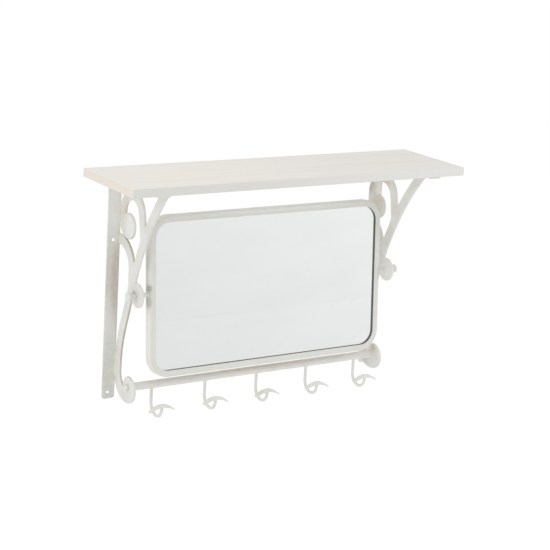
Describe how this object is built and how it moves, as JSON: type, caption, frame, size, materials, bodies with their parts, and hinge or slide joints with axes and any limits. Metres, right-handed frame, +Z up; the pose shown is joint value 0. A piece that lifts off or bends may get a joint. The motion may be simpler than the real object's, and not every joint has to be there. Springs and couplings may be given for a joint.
{
  "type": "wall shelf with tilting mirror and hooks",
  "caption": "Wall shelf on scrolled flat-bar brackets with a tilting framed mirror between them and a round rail of wire hooks below.",
  "frame": {"origin": "centre of the four wall holes, on the wall plane", "axes": "+X to the right along the shelf, +Y into the wall, +Z up"},
  "size_m": [0.7, 0.186, 0.454],
  "materials": {
    "whitewashed_board": "matt whitewash",
    "painted_iron": "matt, lightly distressed",
    "painted_frame": "matt, lightly distressed",
    "silvered_glass": "polished",
    "black_strip": "satin",
    "hardboard": "matt",
    "zinc_steel": "satin"
  },
  "bodies": {
    "bracket_shelf": {"shelf_board": "whitewashed_board", "shelf_screws": "zinc_steel", "left_bracket_strip": "painted_iron", "right_bracket_strip": "painted_iron", "left_main_arm": "painted_iron", "right_main_arm": "painted_iron", "left_arch_scroll": "painted_iron", "right_arch_scroll": "painted_iron", "left_wall_strut": "painted_iron", "right_wall_strut": "painted_iron", "left_pivot_boss": "painted_iron", "right_pivot_boss": "painted_iron", "hook_rail": "painted_iron", "left_rail_button": "painted_iron", "right_rail_button": "painted_iron", "hook_wire_1": "painted_iron", "hook_wire_2": "painted_iron", "hook_wire_3": "painted_iron", "hook_wire_4": "painted_iron", "hook_wire_5": "painted_iron", "hook_crossbar_1": "painted_iron", "hook_crossbar_2": "painted_iron", "hook_crossbar_3": "painted_iron", "hook_crossbar_4": "painted_iron", "hook_crossbar_5": "painted_iron"},
    "mirror": {"mirror_frame": "painted_frame", "glass_gasket": "black_strip", "mirror_glass": "silvered_glass", "mirror_back_board": "hardboard", "back_clips": "zinc_steel", "left_pivot_stud": "painted_iron", "right_pivot_stud": "painted_iron"},
    "left_knob": {"left_clamp_knob": "painted_iron"},
    "right_knob": {"right_clamp_knob": "painted_iron"}
  },
  "joints": [
    {"name": "mirror_tilt", "type": "hinge", "parent": "bracket_shelf", "child": "mirror", "pos_m": [0, -0.0725, 0.0575], "axis": [1, 0, 0], "range_deg": [-22, 28]},
    {"name": "left_knob_turn", "type": "hinge", "parent": "mirror", "child": "left_knob", "pos_m": [-0.28, -0.0725, 0.0575], "axis": [-1, 0, 0], "range_deg": [0, 360]},
    {"name": "right_knob_turn", "type": "hinge", "parent": "mirror", "child": "right_knob", "pos_m": [0.28, -0.0725, 0.0575], "axis": [1, 0, 0], "range_deg": [0, 360]}
  ]
}
